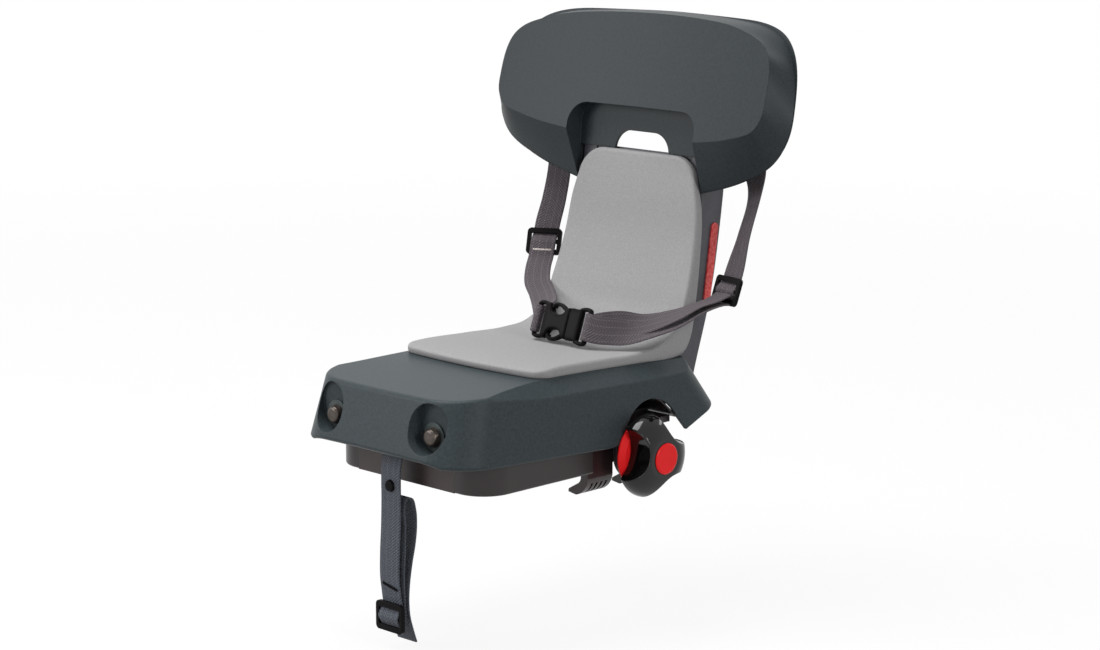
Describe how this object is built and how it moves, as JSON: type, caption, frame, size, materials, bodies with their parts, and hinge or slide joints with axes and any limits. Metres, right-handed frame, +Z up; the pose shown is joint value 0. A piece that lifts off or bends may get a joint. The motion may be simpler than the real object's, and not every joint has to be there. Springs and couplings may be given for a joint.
{
  "type": "child bike seat",
  "caption": "Child bike seat with padded seat and back, wide headrest, shoulder belts with buckle, and a knob driven clamp that grips the rails of a rear carrier.",
  "frame": {"origin": "underside of the base on the middle plane, on the line of the clamp spindle", "axes": "+Z up, -Y the way the child faces, +X the side of the clamp knob"},
  "size_m": [0.3675, 0.4043, 0.5331],
  "materials": {
    "shell_plastic": "fine grained moulding, dark greenish grey",
    "frame_plastic": "fine grained moulding, purple grey",
    "head_plastic": "fine grained moulding, dark grey",
    "pad_fabric": "light grey woven cover over foam",
    "base_plastic": "smooth brown black moulding",
    "jaw_plastic": "smooth dark red brown moulding",
    "knob_plastic": "polished black moulding",
    "red_plastic": "smooth red moulding",
    "reflector_red": "clear red reflector",
    "plate_steel": "black powder coat on pressed steel",
    "screw_steel": "zinc plated steel",
    "buckle_plastic": "black acetal moulding",
    "belt_webbing": "woven polyester webbing, purple grey",
    "strap_webbing": "woven polyester webbing, blue grey"
  },
  "bodies": {
    "seat": {"seat_shell": "shell_plastic", "back_frame": "frame_plastic", "headrest_shell": "head_plastic", "headrest_cover": "head_plastic", "seat_pad": "pad_fabric", "base_rail_right": "base_plastic", "base_rail_left": "base_plastic", "base_cover": "base_plastic", "clamp_housing": "base_plastic", "reflector_right": "reflector_red", "reflector_left": "reflector_red", "base_plate": "plate_steel", "headrest_screws": "screw_steel", "shell_screws": "screw_steel", "front_bolts": "screw_steel", "front_washers": "screw_steel", "front_nuts": "screw_steel", "frame_bolts": "screw_steel", "frame_nuts": "screw_steel", "base_screws": "screw_steel", "housing_screws": "screw_steel", "belt_screws": "screw_steel", "strap_rivet": "screw_steel", "buckle_female": "buckle_plastic", "tri_glide_left": "buckle_plastic", "tri_glide_right": "buckle_plastic", "tri_glide_strap": "buckle_plastic", "strap_snap": "buckle_plastic", "belt_left": "belt_webbing", "belt_right": "belt_webbing", "safety_strap": "strap_webbing"},
    "knob": {"knob_body": "knob_plastic", "knob_ratchet": "red_plastic", "knob_cap": "red_plastic", "knob_screw": "screw_steel", "spindle": "screw_steel", "spindle_clips": "screw_steel"},
    "right_jaw": {"jaw_right": "jaw_plastic", "jaw_nut_right": "screw_steel"},
    "left_jaw": {"jaw_left": "jaw_plastic", "jaw_nut_left": "screw_steel"},
    "buckle_tongue": {"buckle_male": "buckle_plastic"}
  },
  "joints": [
    {"name": "knob_turn", "type": "hinge", "parent": "seat", "child": "knob", "pos_m": [0, 0, 0.012], "axis": [1, 0, 0], "range_deg": [-1755, 720]},
    {"name": "jaw_right_slide", "type": "slide", "parent": "seat", "child": "right_jaw", "axis": [1, 0, 0], "range_m": [-0.01951, 0.00801]},
    {"name": "jaw_left_slide", "type": "slide", "parent": "seat", "child": "left_jaw", "axis": [-1, 0, 0], "range_m": [-0.01951, 0.00801]},
    {"name": "buckle_release", "type": "slide", "parent": "seat", "child": "buckle_tongue", "axis": [1, 0, 0], "range_m": [0, 0.036], "deforming": ["buckle_male", "belt_right"]}
  ],
  "couplings": [
    {"joint": "jaw_right_slide", "follows": "knob_turn", "m_per_rad": 0.00063662},
    {"joint": "jaw_left_slide", "follows": "knob_turn", "m_per_rad": 0.00063662}
  ]
}
